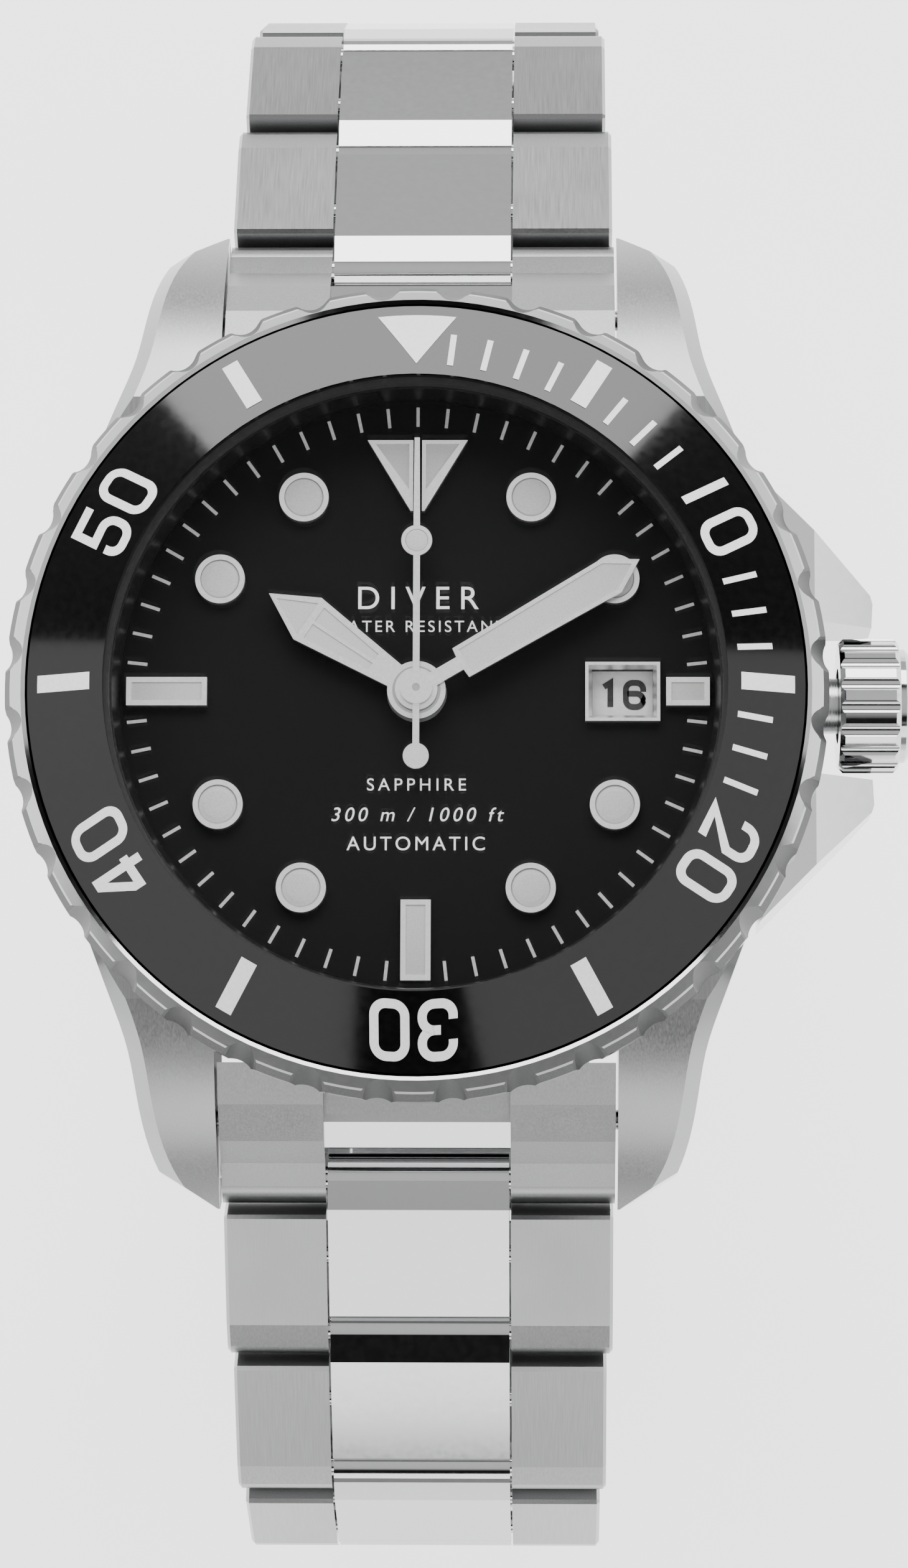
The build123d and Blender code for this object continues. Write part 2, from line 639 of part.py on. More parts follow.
def link_unit(width):
    """One centre piece, two side pieces, the fixed cross pin and the hinge pin."""
    half = width / 2
    inner = CENTRE_HALF + 0.1
    centre = link_piece(0, PITCH - NOSE_R - GAP, True, -CENTRE_HALF, CENTRE_HALF)
    centre -= rod(PIN_R + RUNNING, -30, 30, 0, 0)
    side = link_piece(NOSE_R + GAP, PITCH, False, inner, half)
    side = chamfer(side.faces().sort_by(Axis.X)[-1].edges(), 0.16)
    sides = [side, mirror(side, about=Plane.YZ)]
    cross = rod(0.5, 0.3 - half, half - 0.3, PITCH / 2, 0)
    hinge = rod(PIN_R, 0.2 - half, half - 0.2, PITCH, 0)
    centre -= cross
    sides = [piece - cross - hinge for piece in sides]
    return centre, *sides, cross, hinge


def hinge_places():
    """The hinge axes (y, z) of one side, from the end link to the clasp."""
    places = [FIRST_HINGE]
    for slope in LINK_SLOPES:
        y, z = places[-1]
        places.append((y + PITCH * cos(radians(slope)), z - PITCH * sin(radians(slope))))
    return places


def end_link():
    """The solid piece between the lugs, with its spring bar and the first hinge pin."""
    y, z = FIRST_HINGE
    outline = [(18.2, 6.9), (20.2, 5.9), (21.9, 4.3), (22.9, 2.95), (y + 0.5, z + NOSE_R * 0.98)]
    nose = ThreePointArc((y + 0.5, z + NOSE_R * 0.866), (y + NOSE_R, z), (y + 0.4, z - NOSE_R * 0.92))
    upper = Polyline(*outline[:-1], (y + 0.5, z + NOSE_R * 0.866))
    lower = Polyline((y + 0.4, z - NOSE_R * 0.92), (21.5, -0.15), (19.4, 0.4), (18.2, 1.6), (18.2, 6.9))
    body = extrude(Plane.YZ * make_face([upper, nose, lower]), 9.88, both=True)
    body -= disc(GAP_WALL_R + 0.1, -5, 20)
    recess_end = y - NOSE_R - GAP
    body -= block(-CENTRE_HALF - 0.1, CENTRE_HALF + 0.1, recess_end, 30, -5, 20)
    centre_cut = Polyline((recess_end + 1, 2.6), (recess_end - 1.2, 4.2), (20.6, 5.05), (19, 5.8), (17, 6.4),
                          (17, 12), (recess_end + 1, 12), close=True)
    body -= extrude(Plane.YZ * make_face(centre_cut), CENTRE_HALF + 0.1, both=True)
    body -= rod(0.93, -20, 20, 20.6, 2.0)
    body -= rod(PIN_R, -9.6, 9.6, y, z)
    pin = rod(PIN_R, -9.6, 9.6, y, z)
    return body, pin


def spring_bars():
    bars = []
    for y in (20.6, -20.6):
        bars.append(rod(0.9, -9.7, 9.7, y, 2.0) + rod(0.5, -11.2, 11.2, y, 2.0))
    return bars


def place_unit(shapes, index, turn):
    """Put a link's shapes at its hinge, on the 12 or (turned half round) the 6 o'clock side."""
    y, z = hinge_places()[index]
    move = Rot(0, 0, turn) * Pos(0, y, z) * Rot(-LINK_SLOPES[index], 0, 0)
    return [move * shape for shape in shapes]


# ---- clasp --------------------------------------------------------------------------------
CLASP_HALF_LENGTH = 21.0
CLASP_HALF_WIDTH = 8.8
CLASP_DEPTH = 3.1
CLASP_PIN_R = 0.4
BLADE_HINGE_Y, FOLD_HINGE_Y, LATCH_HINGE_Y = -18.0, 17.0, -13.0


def clasp_height():
    return hinge_places()[-1][1]


def clasp_cover():
    """The outer shell: a shallow channel with a tongue that takes the last link's pin."""
    z = clasp_height()
    end_y = hinge_places()[-1][0]
    floor = z - CLASP_DEPTH
    body = block(-CLASP_HALF_WIDTH, CLASP_HALF_WIDTH, -CLASP_HALF_LENGTH, CLASP_HALF_LENGTH, floor, z + 1.2)
    body = chamfer(body.edges().filter_by(Axis.Y), 0.5)
    inside = CLASP_HALF_WIDTH - 0.8
    body -= block(-inside, inside, -30, CLASP_HALF_LENGTH - 1.2, floor + 1.3, 0)
    body -= block(-6.2, 6.2, -30, -11.9, floor - 1, floor + 0.75)
    body -= block(-6.2, 6.2, -30, -20.45, floor - 1, floor + 1.4)
    tongue = block(-CENTRE_HALF, CENTRE_HALF, CLASP_HALF_LENGTH - 0.5, end_y, z - NOSE_R, z + NOSE_R)
    tongue += rod(NOSE_R, -CENTRE_HALF, CENTRE_HALF, end_y, z)
    tongue -= rod(PIN_R + RUNNING, -10, 10, end_y, z)
    pin_z = floor + 1.3 + 0.65
    # ears that hold the folding blade's pin
    ear_end = CLASP_HALF_WIDTH - 0.7
    for start, end in ((5.0, ear_end), (-ear_end, -5.0)):
        body += block(start, end, BLADE_HINGE_Y - 0.6, BLADE_HINGE_Y + 0.6, floor + 1.2, pin_z + 0.6)
    blade_pin = rod(CLASP_PIN_R, -8.2, 8.2, BLADE_HINGE_Y, pin_z)
    latch_pin = rod(CLASP_PIN_R, -7.6, 7.6, LATCH_HINGE_Y, floor + 0.4)
    body -= rod(0.72, -6.2, 6.2, LATCH_HINGE_Y, floor + 0.4)
    return body + tongue - blade_pin - latch_pin, blade_pin, latch_pin


def clasp_outer_blade():
    floor = clasp_height() - CLASP_DEPTH + 1.3
    z = floor + 0.65
    body = block(-4.8, 4.8, BLADE_HINGE_Y, FOLD_HINGE_Y, floor + 0.25, floor + 1.05)
    body += rod(0.6, -4.8, 4.8, BLADE_HINGE_Y, z)
    body -= rod(CLASP_PIN_R + RUNNING, -10, 10, BLADE_HINGE_Y, z)
    fold_z = floor + 1.35
    body += block(-4.8, 4.8, FOLD_HINGE_Y - 0.7, FOLD_HINGE_Y + 0.7, floor + 0.25, fold_z)
    body += rod(0.7, -4.8, 4.8, FOLD_HINGE_Y, fold_z)
    body -= block(-3.1, 3.1, FOLD_HINGE_Y - 0.9, 30, floor - 1, 0)
    pin = rod(CLASP_PIN_R, -4.7, 4.7, FOLD_HINGE_Y, fold_z)
    return body - pin, pin


def clasp_inner_blade():
    """The blade next to the wrist; its free end meets the last link of the 6 o'clock side."""
    floor = clasp_height() - CLASP_DEPTH + 1.3
    fold_z = floor + 1.35
    end = -21.3
    body = block(-3.0, 3.0, end, FOLD_HINGE_Y, fold_z - 0.1, fold_z + 0.7)
    body += block(-3.0, 3.0, end, end + 1.4, fold_z - 0.9, fold_z + 0.7)
    body += rod(0.7, -3.0, 3.0, FOLD_HINGE_Y, fold_z)
    return body - rod(CLASP_PIN_R + RUNNING, -10, 10, FOLD_HINGE_Y, fold_z)


def safety_latch():
    """A thin flap flush with the cover's outer face, turning on a pin."""
    floor = clasp_height() - CLASP_DEPTH
    end = -21.2
    body = block(-6.1, 6.1, end, -12.5, floor, floor + 0.65)
    body += block(-6.1, 6.1, end, end + 0.6, floor, floor + 1.6)
    body += rod(0.65, -6.1, 6.1, LATCH_HINGE_Y, floor + 0.4) & block(-7, 7, -15, -11, floor, floor + 0.73)
    return body - rod(CLASP_PIN_R + RUNNING, -10, 10, LATCH_HINGE_Y, floor + 0.4)


# ---- write the nodes ----------------------------------------------------------------------
save("case_middle", case_middle())
save("case_back", case_back())
save("case_gaskets", *gaskets())
save("crown_tube", crown_tube())
save("crystal", crystal())
save("rehaut", rehaut())
save("dial", dial())
save("hour_markers", *hour_markers())
save("hour_hand", hour_hand())
save("minute_hand", minute_hand())
save("seconds_hand", seconds_hand())
save("bezel_ring", bezel_ring())
save("bezel_insert", bezel_insert())
save("bezel_click_spring", bezel_click_spring())
save("bezel_retaining_ring", bezel_retaining_ring())
save("crown", crown())
save("crown_gasket", crown_gasket())
save("winding_stem", winding_stem())

save("movement_ring", movement_ring())
save("main_plate", main_plate())
save("barrel_bridge", barrel_bridge())
save("train_bridge", train_bridge())
save("balance_cock", balance_cock())
save("movement_screws", *movement_screws())
save("jewels", *jewels())
save("mainspring_barrel", mainspring_barrel())
save("mainspring", mainspring())
save("ratchet_wheel", ratchet_wheel())
save("crown_wheel", crown_wheel())
save("great_wheel", great_wheel())
save("third_wheel", third_wheel())
save("fourth_wheel", fourth_wheel())
save("escape_wheel", escape_wheel())
save("pallet_fork", pallet_fork())
save("balance_wheel", balance_wheel())
save("hairspring", hairspring())
save("cannon_pinion", cannon_pinion())
save("minute_wheel", minute_wheel())
save("hour_wheel", hour_wheel())
save("date_disc", date_disc())
save("rotor", rotor())

save("spring_bars", *spring_bars())
for hours, turn in ((12, 0), (6, 180)):
    save(f"end_link_{hours}", *[Rot(0, 0, turn) * shape for shape in end_link()])
    for index, width in enumerate(LINK_WIDTHS):
        save(f"link_{hours}_{index + 1}", *place_unit(link_unit(width), index, turn))
save("clasp_cover", *clasp_cover())
save("clasp_outer_blade", *clasp_outer_blade())
save("clasp_inner_blade", clasp_inner_blade())
save("safety_latch", safety_latch())
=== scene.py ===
from math import cos, hypot, radians, sin

import bmesh
import bpy
from mathutils import Matrix, Vector


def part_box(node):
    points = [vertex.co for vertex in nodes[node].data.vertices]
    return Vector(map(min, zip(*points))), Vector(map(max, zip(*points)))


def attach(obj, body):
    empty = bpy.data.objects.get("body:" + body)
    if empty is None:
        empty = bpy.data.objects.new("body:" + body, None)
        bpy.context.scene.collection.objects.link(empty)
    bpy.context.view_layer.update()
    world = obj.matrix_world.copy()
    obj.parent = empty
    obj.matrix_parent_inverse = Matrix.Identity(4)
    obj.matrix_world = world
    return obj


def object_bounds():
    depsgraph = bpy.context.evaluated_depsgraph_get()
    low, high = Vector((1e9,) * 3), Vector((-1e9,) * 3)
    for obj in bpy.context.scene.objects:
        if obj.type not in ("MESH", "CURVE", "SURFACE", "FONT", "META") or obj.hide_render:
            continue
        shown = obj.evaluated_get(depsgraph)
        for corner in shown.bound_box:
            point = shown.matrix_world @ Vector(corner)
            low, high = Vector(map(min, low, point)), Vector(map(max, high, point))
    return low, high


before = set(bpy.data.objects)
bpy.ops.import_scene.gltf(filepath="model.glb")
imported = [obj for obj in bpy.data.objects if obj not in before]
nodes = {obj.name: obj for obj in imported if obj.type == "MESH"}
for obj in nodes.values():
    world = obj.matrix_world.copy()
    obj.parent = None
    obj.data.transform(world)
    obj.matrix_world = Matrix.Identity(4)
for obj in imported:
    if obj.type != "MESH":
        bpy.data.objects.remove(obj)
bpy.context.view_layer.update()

# ---- places, in metres, from the frame ----------------------------------------------------
MM = 0.001
DIAL_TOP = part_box("dial")[1].z
MARKER_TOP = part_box("hour_markers")[1].z
DATE_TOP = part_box("date_disc")[1].z
HOUR_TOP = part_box("hour_hand")[1].z
MINUTE_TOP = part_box("minute_hand")[1].z
HAND_THICKNESS = HOUR_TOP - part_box("hour_hand")[0].z
SECONDS_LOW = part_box("seconds_hand")[0].z
FLOOR_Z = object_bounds()[0][2]
INSERT_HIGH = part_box("bezel_insert")[1]
INSERT_OUT_R = INSERT_HIGH.x
INSERT_IN_R = 15.3 * MM
BEZEL_EDGE_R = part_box("bezel_ring")[1].x / MM
INSERT_TOP = INSERT_HIGH.z
INSERT_DROP = 1.8 * MM
PAINT = 0.03 * MM

# ---- dimensions of the marks, in millimetres ----------------------------------------------
LINK_SLOPES = (30, 37, 70, 108, 145, 175)   # degrees below level, from the head to the clasp
LINK_CENTRE_HALF = 4.6
ROOT_EDGE_Y = 21.1                          # where an end link's polished step begins
SCALLOP_FLOOR_R = 19.35
SCALLOP_TOP_Z = 10.9
GUARD_X, GUARD_Y = 17, 11
ARBOR_END_Z = 8
TRIANGLE_INNER, TRIANGLE_HALF = 15.88, 1.95
MARK_OUTER = 18.62
MINUTE_MARK_INNER, MINUTE_MARK_OUTER, MINUTE_MARK_HALF = 15.85, 17.6, 0.15
FIVE_MARK_INNER, FIVE_MARK_HALF = 15.95, 0.43
NUMERAL_R = 17.15
NUMERAL_SIZE = (1.95, 2.9, 0.44, 2.35)      # digit width, height, stroke, step
DATE_R = 10.2
DATE_SIZE = (1.15, 1.5, 0.29, 1.2)
DATE_DAYS, DATE_AT_REST = 31, 16
TICK_INNER, TICK_OUTER, TICK_HALF = 13.47, 14.45, 0.08
PLOT_RING_R, PLOT_R = 11.32, 0.975
FRAME_WALL = 0.265
HOUR_CLOCK, MINUTE_CLOCK = 303.5, 59.5      # degrees clockwise from 12, at rest
SECONDS_DISC_Y, SECONDS_DISC_R = 7.4, 0.56


# ---- meshes -------------------------------------------------------------------------------
def add_piece(name, mesh, body, material):
    """A new piece that rides on a body, with its finish from a material slot."""
    piece = bpy.data.objects.new(name, mesh)
    bpy.context.scene.collection.objects.link(piece)
    mesh.materials.clear()
    mesh.materials.append(material)
    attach(piece, body)
    return piece


class Builder:
    """Collects closed prisms in one mesh."""

    def __init__(self):
        self.mesh = bmesh.new()

    def prism(self, outline, low, high, place):
        """A prism from a flat outline; place(x, y, height) gives a point in space."""
        if area(outline) < 0:
            outline = list(reversed(outline))
        bottom = [self.mesh.verts.new(place(x, y, low)) for x, y in outline]
        top = [self.mesh.verts.new(place(x, y, high)) for x, y in outline]
        self.mesh.faces.new(top)
        self.mesh.faces.new(list(reversed(bottom)))
        for i, start in enumerate(bottom):
            j = (i + 1) % len(bottom)
            self.mesh.faces.new([start, bottom[j], top[j], top[i]])

    def ribbon(self, path, width, low, high, place, closed=False):
        """A stroke of even width along a path of points, as a closed solid."""
        count = len(path)
        left, right = [], []
        for i, point in enumerate(path):
            before = path[i - 1] if (i or closed) else point
            after = path[(i + 1) % count] if (i + 1 < count or closed) else point
            one = unit(before, point) or unit(point, after)
            two = unit(point, after) or one
            nx, ny = -(one[1] + two[1]), one[0] + two[0]
            size = hypot(nx, ny)
            nx, ny = nx / size, ny / size
            stretch = min(2.0, 1 / max(0.2, nx * -one[1] + ny * one[0]))
            half = width / 2 * stretch
            left.append((point[0] + nx * half, point[1] + ny * half))
            right.append((point[0] - nx * half, point[1] - ny * half))
        lists = []
        for height in (low, high):
            lists.append([self.mesh.verts.new(place(x, y, height)) for x, y in left])
            lists.append([self.mesh.verts.new(place(x, y, height)) for x, y in right])
        low_left, low_right, high_left, high_right = lists
        spans = count if closed else count - 1
        for i in range(spans):
            j = (i + 1) % count
            self.mesh.faces.new([high_right[i], high_right[j], high_left[j], high_left[i]])
            self.mesh.faces.new([low_left[i], low_left[j], low_right[j], low_right[i]])
            self.mesh.faces.new([low_left[j], low_left[i], high_left[i], high_left[j]])
            self.mesh.faces.new([low_right[i], low_right[j], high_right[j], high_right[i]])
        if not closed:
            self.mesh.faces.new([low_left[0], low_right[0], high_right[0], high_left[0]])
            self.mesh.faces.new([low_right[-1], low_left[-1], high_left[-1], high_right[-1]])

    def bar(self, half_width, inner, outer, low, high, place, parts=8):
        """A rectangle in (across, radius), cut into strips so that it follows a curved face."""
        self.wedge((half_width, half_width), inner, outer, low, high, place, parts)

    def wedge(self, half_widths, inner, outer, low, high, place, parts=8):
        """A trapezium between two radii, with its half widths at the inner and outer ends."""
        rows = []
        for step in range(parts + 1):
            share = step / parts
            half = half_widths[0] + (half_widths[1] - half_widths[0]) * share
            y = inner + (outer - inner) * share
            across = [half * (2 * column / parts - 1) for column in range(parts + 1)]
            rows.append([[self.mesh.verts.new(place(x, y, height)) for x in across]
                         for height in (low, high)])
        for (low_a, high_a), (low_b, high_b) in zip(rows, rows[1:]):
            for i in range(parts):
                self.mesh.faces.new([high_a[i], high_a[i + 1], high_b[i + 1], high_b[i]])
                self.mesh.faces.new([low_a[i + 1], low_a[i], low_b[i], low_b[i + 1]])
            self.mesh.faces.new([low_a[0], high_a[0], high_b[0], low_b[0]])
            self.mesh.faces.new([low_b[-1], high_b[-1], high_a[-1], low_a[-1]])
        for (lower, upper), flip in ((rows[0], False), (rows[-1], True)):
            for i in range(parts):
                corners = [lower[i], lower[i + 1], upper[i + 1], upper[i]]
                self.mesh.faces.new(list(reversed(corners)) if flip else corners)

    def finish(self, name):
        bmesh.ops.recalc_face_normals(self.mesh, faces=self.mesh.faces)
        mesh = bpy.data.meshes.new(name)
        self.mesh.to_mesh(mesh)
        self.mesh.free()
        return mesh


def area(outline):
    total = 0.0
    for i, (x, y) in enumerate(outline):
        nx, ny = outline[(i + 1) % len(outline)]
        total += x * ny - nx * y
    return total / 2


def unit(start, end):
    dx, dy = end[0] - start[0], end[1] - start[1]
    size = hypot(dx, dy)
    return (dx / size, dy / size) if size > 1e-9 else None


def arc(cx, cy, radius, start, end, steps=8):
    """Points on an arc between two angles in degrees."""
    points = []
    for step in range(steps + 1):
        angle = radians(start + (end - start) * step / steps)
        points.append((cx + radius * cos(angle), cy + radius * sin(angle)))
    return points


def circle(cx, cy, radius, steps=48):
    return arc(cx, cy, radius, 0, 360 - 360 / steps, steps - 1)


def flat_place(clock_degrees=0.0, height=0.0):
    """Local x, y (mm) turned clockwise about the dial's centre, at a height in metres."""
    turn = radians(-clock_degrees)

    def place(x, y, z):
        turned_x = x * cos(turn) - y * sin(turn)
        turned_y = x * sin(turn) + y * cos(turn)
        return Vector((turned_x * MM, turned_y * MM, height + z))
    return place


def cone_place(clock_degrees):
    """Local x (mm across) and y (mm radius) laid on the insert's sloping face."""
    slope = INSERT_DROP / (INSERT_OUT_R - INSERT_IN_R)

    def place(x, y, z):
        radius = y * MM
        angle = radians(clock_degrees) + x * MM / radius
        height = INSERT_TOP - slope * (radius - INSERT_IN_R) + z
        return Vector((radius * sin(angle), radius * cos(angle), height))
    return place


# ---- numerals -----------------------------------------------------------------------------
def digit_paths(digit, width, height, radius):
    """Centre lines of a square-shouldered digit, centred on (0, 0): [(points, closed)].

    "I" is a 1 without its flag.
    """
    w, h, r = width / 2, height / 2, radius
    top_right = arc(w - r, h - r, r, 90, 0)
    low_right = arc(w - r, r - h, r, 0, -90)
    low_left = arc(r - w, r - h, r, -90, -180)
    top_left = arc(r - w, h - r, r, 180, 90)
    waist = min(r, h / 2)
    upper_right = arc(w - waist, waist, waist, 0, -90)
    lower_right = arc(w - waist, -waist, waist, 90, 0)
    shapes = {
        "0": [(top_right + low_right + low_left + top_left, True)],
        "1": [([(-w * 0.75, h - 0.6 * r), (0.0, h), (0.0, -h)], False)],
        "I": [([(0.0, h), (0.0, -h)], False)],
        "2": [([(-w, h - 1.5 * r)] + top_left + top_right + [(w, 0.1 * h), (-w, -h), (w, -h)],
               False)],
        "3": [([(-w, h - 1.3 * r)] + top_left + top_right + upper_right + [(-0.2 * w, 0.0)], False),
              ([(0.2 * w, 0.0)] + lower_right + low_right + low_left + [(-w, 1.3 * r - h)], False)],
        "4": [([(0.45 * w, -h), (0.45 * w, h), (0.15 * w, h), (-w, -0.15 * h), (-w, -0.4 * h),
                (w, -0.4 * h)], False)],
        "5": [([(w, h), (-w, h), (-w, 0.12 * h), (0.0, 0.12 * h)]
               + arc(w - r, 0.12 * h - r, r, 90, 0) + low_right + low_left
               + [(-w, 1.3 * r - h)], False)],
        "6": [([(w, h - 1.3 * r)] + list(reversed(top_left + top_right)) + [(-w, r - h)]
               + list(reversed(low_left)) + list(reversed(low_right))
               + arc(w - r, 0.1 * h - r, r, 0, 90) + [(-w + 0.2 * r, 0.1 * h)], False)],
        "7": [([(-w, h), (w, h), (-0.2 * w, -h)], False)],
        "8": [(top_right + upper_right + lower_right + low_right + low_left
               + arc(waist - w, -waist, waist, 180, 90) + arc(waist - w, waist, waist, -90, -180)
               + top_left, True)],
        "9": [([(w - 0.2 * r, -0.1 * h)] + arc(r - w, r - 0.1 * h, r, -90, -180)
               + top_left + top_right + low_right + low_left + [(-w, 1.3 * r - h)], False)],
    }
    return shapes[digit]


def write_digits(builder, text, centre_y, size, place, low, high):
    """Digits side by side about x = 0; size is (digit width, height, stroke, step)."""
    width, height, stroke, step = size
    for index, digit in enumerate(text):
        middle = (index - (len(text) - 1) / 2) * step
        for path, closed in digit_paths(digit, width - stroke, height - stroke, 0.3 * width):
            moved = [(x + middle, y + centre_y) for x, y in path]
            builder.ribbon(moved, stroke, low, high, place, closed)


# ---- materials ----------------------------------------------------------------------------
def new_material(name):
    material = bpy.data.materials.new(name)
    material.use_nodes = True
    tree = material.node_tree
    return material, tree, tree.nodes["Principled BSDF"]


def node(tree, kind, **inputs):
    made = tree.nodes.new(kind)
    for key, value in inputs.items():
        made.inputs[key.replace("_", " ")].default_value = value
    return made


def mapped_noise(tree, scale, rotation=(0, 0, 0), detail=3.0, noise_scale=1.0):
    """Noise on the object's own coordinates, stretched by scale and turned by rotation."""
    coords = tree.nodes.new("ShaderNodeTexCoord")
    turn = tree.nodes.new("ShaderNodeMapping")
    turn.inputs["Rotation"].default_value = rotation
    stretch = tree.nodes.new("ShaderNodeMapping")
    stretch.inputs["Scale"].default_value = scale
    noise = node(tree, "ShaderNodeTexNoise", Scale=noise_scale, Detail=detail)
    tree.links.new(coords.outputs["Object"], turn.inputs["Vector"])
    tree.links.new(turn.outputs["Vector"], stretch.inputs["Vector"])
    tree.links.new(stretch.outputs["Vector"], noise.inputs["Vector"])
    return noise


def ranged(tree, source, low, high):
    """The source's 0.3 to 0.7 spread over low to high."""
    spread = tree.nodes.new("ShaderNodeMapRange")
    for key, value in (("From Min", 0.3), ("From Max", 0.7), ("To Min", low), ("To Max", high)):
        spread.inputs[key].default_value = value
    tree.links.new(source, spread.inputs["Value"])
    return spread.outputs["Result"]


def tinted(tree, source, dark, light):
    mix = tree.nodes.new("ShaderNodeMix")
    mix.data_type = "RGBA"
    mix.inputs["A"].default_value = (*dark, 1)
    mix.inputs["B"].default_value = (*light, 1)
    tree.links.new(source, mix.inputs["Factor"])
    return mix.outputs["Result"]


def bump(tree, shader, source, strength, distance):
    made = node(tree, "ShaderNodeBump", Strength=strength, Distance=distance)
    tree.links.new(source, made.inputs["Height"])
    tree.links.new(made.outputs["Normal"], shader.inputs["Normal"])


def brushed_steel(name, tilt=0.0, across="X", painted_shade=1.0):
    """Fine satin lines along Y, or along X, tilted about X to follow a link; the colour is scaled
    by the last argument, which is painted shade.
    """
    dark = tuple(painted_shade * part for part in (0.27, 0.272, 0.275))
    light = tuple(painted_shade * part for part in (0.33, 0.332, 0.335))
    material, tree, shader = new_material(name)
    fine, long = 14000, 500
    scale = (fine, long, fine) if across == "X" else (long, fine, fine)
    lines = mapped_noise(tree, scale, (radians(tilt), 0, 0), 4.0)
    cloud = mapped_noise(tree, (180, 180, 180), detail=3.0)
    colour = tinted(tree, ranged(tree, lines.outputs["Fac"], 0, 1), dark, light)
    tree.links.new(colour, shader.inputs["Base Color"])
    both = tree.nodes.new("ShaderNodeMath")
    both.operation = "ADD"
    tree.links.new(ranged(tree, lines.outputs["Fac"], 0.28, 0.36), both.inputs[0])
    tree.links.new(ranged(tree, cloud.outputs["Fac"], 0.0, 0.05), both.inputs[1])
    tree.links.new(both.outputs[0], shader.inputs["Roughness"])
    bump(tree, shader, lines.outputs["Fac"], 0.08, 0.00001)
    shader.inputs["Metallic"].default_value = 1.0
    return material


def rhodium(name):
    """Silvery satin plating for the hands and the marker frames."""
    material, tree, shader = new_material(name)
    grain = mapped_noise(tree, (6000, 6000, 6000), detail=4.0)
    tree.links.new(tinted(tree, ranged(tree, grain.outputs["Fac"], 0, 1), (0.86, 0.86, 0.86),
                          (0.95, 0.95, 0.95)), shader.inputs["Base Color"])
    tree.links.new(ranged(tree, grain.outputs["Fac"], 0.28, 0.36), shader.inputs["Roughness"])
    bump(tree, shader, grain.outputs["Fac"], 0.05, 0.000004)
    shader.inputs["Metallic"].default_value = 1.0
    return material


def polished_steel(name, colour=(0.52, 0.524, 0.528)):
    """Mirror finish with a breath of haze and the finest wiping marks."""
    material, tree, shader = new_material(name)
    haze = mapped_noise(tree, (2500, 2500, 2500), detail=5.0)
    dark = tuple(0.97 * part for part in colour)
    tree.links.new(tinted(tree, ranged(tree, haze.outputs["Fac"], 0, 1), dark, colour),
                   shader.inputs["Base Color"])
    tree.links.new(ranged(tree, haze.outputs["Fac"], 0.07, 0.1), shader.inputs["Roughness"])
    shader.inputs["Metallic"].default_value = 1.0
    return material


def turned_steel(name, colour=(0.55, 0.555, 0.56)):
    """Circular turning lines about the object's Z axis."""
    material, tree, shader = new_material(name)
    coords = tree.nodes.new("ShaderNodeTexCoord")
    flat = node(tree, "ShaderNodeVectorMath")
    flat.operation = "MULTIPLY"
    flat.inputs[1].default_value = (1, 1, 0)
    length = tree.nodes.new("ShaderNodeVectorMath")
    length.operation = "LENGTH"
    noise = tree.nodes.new("ShaderNodeTexNoise")
    noise.noise_dimensions = "1D"
    noise.inputs["Scale"].default_value = 9000
    noise.inputs["Detail"].default_value = 3
    tree.links.new(coords.outputs["Object"], flat.inputs[0])
    tree.links.new(flat.outputs["Vector"], length.inputs[0])
    tree.links.new(length.outputs["Value"], noise.inputs["W"])
    dark = tuple(0.8 * part for part in colour)
    tree.links.new(tinted(tree, ranged(tree, noise.outputs["Fac"], 0, 1), dark, colour),
                   shader.inputs["Base Color"])
    tree.links.new(ranged(tree, noise.outputs["Fac"], 0.22, 0.36), shader.inputs["Roughness"])
    bump(tree, shader, noise.outputs["Fac"], 0.12, 0.00001)
    shader.inputs["Metallic"].default_value = 1.0
    return material


def grained(name, dark, light, rough, grain, metallic=0.0, strength=0.1):
    """A plain finish with fine grain: lacquer, paint, rubber, plastic, luminous paste."""
    material, tree, shader = new_material(name)
    noise = mapped_noise(tree, (grain, grain, grain), detail=4.0)
    tree.links.new(tinted(tree, ranged(tree, noise.outputs["Fac"], 0, 1), dark, light),
                   shader.inputs["Base Color"])
    tree.links.new(ranged(tree, noise.outputs["Fac"], *rough), shader.inputs["Roughness"])
    bump(tree, shader, noise.outputs["Fac"], strength, 0.00001)
    shader.inputs["Metallic"].default_value = metallic
    return material


def ceramic(name):
    """Glossy black ceramic with a clear polish."""
    material = grained(name, (0.002, 0.002, 0.0022), (0.0035, 0.0035, 0.0038), (0.07, 0.1), 2500,
                       0.0, 0.01)
    shader = material.node_tree.nodes["Principled BSDF"]
    shader.inputs["IOR"].default_value = 1.5
    return material


def matte(material):
    """Takes nearly all of the shine off a paint."""
    material.node_tree.nodes["Principled BSDF"].inputs["Specular IOR Level"].default_value = 0.12
    return material


def sapphire(name):
    material, tree, shader = new_material(name)
    haze = mapped_noise(tree, (400, 400, 400))
    tree.links.new(ranged(tree, haze.outputs["Fac"], 0.0, 0.02), shader.inputs["Roughness"])
    colour = tinted(tree, haze.outputs["Fac"], (0.93, 0.95, 1.0), (1, 1, 1))
    tree.links.new(colour, shader.inputs["Base Color"])
    shader.inputs["Transmission Weight"].default_value = 1.0
    shader.inputs["IOR"].default_value = 1.5
    shader.inputs["Alpha"].default_value = 0.012
    return material


